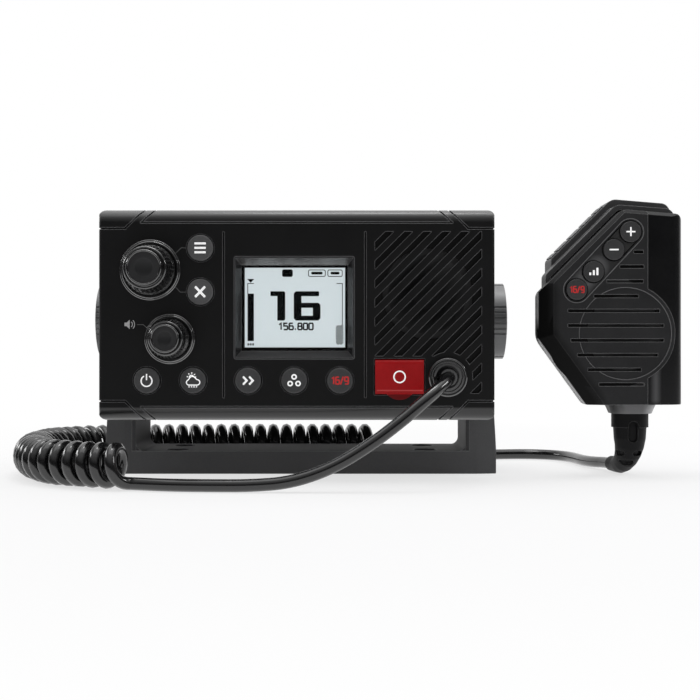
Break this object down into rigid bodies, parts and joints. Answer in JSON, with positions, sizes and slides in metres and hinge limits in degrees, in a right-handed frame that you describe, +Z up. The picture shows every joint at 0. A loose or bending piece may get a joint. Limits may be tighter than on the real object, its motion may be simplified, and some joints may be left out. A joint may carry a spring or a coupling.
{
  "type": "marine radio",
  "caption": "Fixed-mount marine radio on a gimbal bracket, with display, knobs, keys, flapped alarm button and a fist microphone on a curly cord.",
  "frame": {"origin": "middle of the bracket's underside, between its four base screws", "axes": "+X to the right as the user faces the radio, +Y towards its back, +Z up; the display faces -Y"},
  "size_m": [0.2877, 0.1609, 0.1196],
  "materials": {
    "case_plastic": "moulded satin black",
    "trim_plastic": "semi-gloss black",
    "knob_plastic": "soft-touch black",
    "key_rubber": "translucent-coated grey rubber",
    "mat_rubber": "plain moulded rubber",
    "window": "clear window",
    "lcd": "reflective LCD, pale grey",
    "red_plastic": "translucent red",
    "board_laminate": "green board laminate",
    "cast_aluminium": "black powder coat",
    "stainless": "plain stainless steel",
    "brass": "plain brass",
    "plated": "nickel plated",
    "cord_rubber": "glossy black cord jacket",
    "seal_rubber": "black seal rubber",
    "bracket_plastic": "fine-grained dark grey",
    "grip_plastic": "fine-grained dark grey",
    "mic_plastic": "moulded satin black"
  },
  "bodies": {
    "bracket": {"gimbal_bracket": "bracket_plastic", "cord_lead_radio": "cord_rubber", "cord_coil": "cord_rubber", "cord_lead_mic": "cord_rubber"},
    "radio": {"front_case": "case_plastic", "display_frame": "trim_plastic", "display_window": "window", "lcd_panel": "lcd", "lcd_holder": "mat_rubber", "keypad_mat": "mat_rubber", "speaker": "stainless", "front_board": "board_laminate", "main_board": "board_laminate", "board_screws": "stainless", "rear_chassis": "cast_aluminium", "case_gasket": "seal_rubber", "case_screws": "stainless", "antenna_socket": "plated", "power_gland": "seal_rubber", "cord_gland": "trim_plastic", "heat_sink": "cast_aluminium", "rotary_encoders": "stainless", "distress_hinge_pin": "stainless", "distress_spring": "stainless", "mount_inserts": "brass", "friction_washers": "seal_rubber"},
    "left_grip": {"left_mount_knob": "grip_plastic", "left_knob_stud": "stainless"},
    "right_grip": {"right_mount_knob": "grip_plastic", "right_knob_stud": "stainless"},
    "channel_push": {"channel_plunger": "stainless"},
    "channel_dial": {"channel_knob": "knob_plastic", "channel_shaft": "stainless"},
    "volume_push": {"volume_plunger": "stainless"},
    "volume_dial": {"volume_knob": "knob_plastic", "volume_shaft": "stainless"},
    "menu": {"menu_key": "key_rubber"},
    "cancel": {"cancel_key": "key_rubber"},
    "power": {"power_key": "key_rubber"},
    "weather": {"weather_key": "key_rubber"},
    "scan": {"scan_key": "key_rubber"},
    "watch": {"watch_key": "key_rubber"},
    "priority": {"priority_key": "key_rubber"},
    "flap": {"distress_cover": "red_plastic"},
    "distress": {"distress_button": "red_plastic"},
    "microphone": {"mic_front_shell": "mic_plastic", "mic_back_shell": "mic_plastic", "mic_side_cover": "trim_plastic", "mic_speaker": "stainless", "mic_board": "board_laminate", "mic_keypad_mat": "mat_rubber", "ptt_switch": "trim_plastic", "mic_strain_relief": "cord_rubber", "mic_screws": "stainless", "mic_hanger_stud": "stainless"},
    "talk": {"ptt_button": "mat_rubber"},
    "mic_up": {"mic_up_key": "key_rubber"},
    "mic_down": {"mic_down_key": "key_rubber"},
    "mic_level": {"mic_power_level_key": "key_rubber"},
    "mic_priority": {"mic_priority_key": "key_rubber"}
  },
  "joints": [
    {"name": "radio_tilt", "type": "hinge", "parent": "bracket", "child": "radio", "pos_m": [0, 0, 0.0674], "axis": [1, 0, 0], "range_deg": [-15, 15], "deforming": ["cord_lead_radio"]},
    {"name": "left_grip_turn", "type": "hinge", "parent": "radio", "child": "left_grip", "pos_m": [-0.0775, 0, 0.0674], "axis": [-1, 0, 0], "continuous": true},
    {"name": "right_grip_turn", "type": "hinge", "parent": "radio", "child": "right_grip", "pos_m": [0.0775, 0, 0.0674], "axis": [1, 0, 0], "continuous": true},
    {"name": "channel_press", "type": "slide", "parent": "radio", "child": "channel_push", "axis": [0, 1, 0], "range_m": [0, 0.0008], "stiffness_N_per_m": 3000, "springref_m": -0.0006},
    {"name": "channel_turn", "type": "hinge", "parent": "channel_push", "child": "channel_dial", "pos_m": [-0.05935, -0.0615, 0.0867], "axis": [0, -1, 0], "continuous": true},
    {"name": "volume_press", "type": "slide", "parent": "radio", "child": "volume_push", "axis": [0, 1, 0], "range_m": [0, 0.0008], "stiffness_N_per_m": 3000, "springref_m": -0.0006},
    {"name": "volume_turn", "type": "hinge", "parent": "volume_push", "child": "volume_dial", "pos_m": [-0.0514, -0.0615, 0.0588], "axis": [0, -1, 0], "continuous": true},
    {"name": "menu_press", "type": "slide", "parent": "radio", "child": "menu", "axis": [0, 1, 0], "range_m": [0, 0.0008], "stiffness_N_per_m": 1500, "springref_m": -0.0006},
    {"name": "cancel_press", "type": "slide", "parent": "radio", "child": "cancel", "axis": [0, 1, 0], "range_m": [0, 0.0008], "stiffness_N_per_m": 1500, "springref_m": -0.0006},
    {"name": "power_press", "type": "slide", "parent": "radio", "child": "power", "axis": [0, 1, 0], "range_m": [0, 0.0008], "stiffness_N_per_m": 1500, "springref_m": -0.0006},
    {"name": "weather_press", "type": "slide", "parent": "radio", "child": "weather", "axis": [0, 1, 0], "range_m": [0, 0.0008], "stiffness_N_per_m": 1500, "springref_m": -0.0006},
    {"name": "scan_press", "type": "slide", "parent": "radio", "child": "scan", "axis": [0, 1, 0], "range_m": [0, 0.0008], "stiffness_N_per_m": 1500, "springref_m": -0.0006},
    {"name": "watch_press", "type": "slide", "parent": "radio", "child": "watch", "axis": [0, 1, 0], "range_m": [0, 0.0008], "stiffness_N_per_m": 1500, "springref_m": -0.0006},
    {"name": "priority_press", "type": "slide", "parent": "radio", "child": "priority", "axis": [0, 1, 0], "range_m": [0, 0.0008], "stiffness_N_per_m": 1500, "springref_m": -0.0006},
    {"name": "flap_lift", "type": "hinge", "parent": "radio", "child": "flap", "pos_m": [0.04175, -0.0607, 0.0488], "axis": [-1, 0, 0], "range_deg": [0, 100], "stiffness_Nm_per_rad": 0.004, "springref_deg": -34.38},
    {"name": "distress_press", "type": "slide", "parent": "radio", "child": "distress", "axis": [0, 1, 0], "range_m": [0, 0.0015], "stiffness_N_per_m": 1500, "springref_m": -0.0008},
    {"name": "microphone_lift", "type": "slide", "parent": "bracket", "child": "microphone", "axis": [0, 0, 1], "range_m": [0, 0.08], "deforming": ["cord_lead_mic"]},
    {"name": "talk_press", "type": "slide", "parent": "microphone", "child": "talk", "axis": [0.7071, 0, -0.7071], "range_m": [0, 0.002], "stiffness_N_per_m": 1500, "springref_m": -0.001},
    {"name": "mic_up_press", "type": "slide", "parent": "microphone", "child": "mic_up", "axis": [0, 1, 0], "range_m": [0, 0.0008], "stiffness_N_per_m": 1500, "springref_m": -0.0006},
    {"name": "mic_down_press", "type": "slide", "parent": "microphone", "child": "mic_down", "axis": [0, 1, 0], "range_m": [0, 0.0008], "stiffness_N_per_m": 1500, "springref_m": -0.0006},
    {"name": "mic_level_press", "type": "slide", "parent": "microphone", "child": "mic_level", "axis": [0, 1, 0], "range_m": [0, 0.0008], "stiffness_N_per_m": 1500, "springref_m": -0.0006},
    {"name": "mic_priority_press", "type": "slide", "parent": "microphone", "child": "mic_priority", "axis": [0, 1, 0], "range_m": [0, 0.0008], "stiffness_N_per_m": 1500, "springref_m": -0.0006}
  ]
}
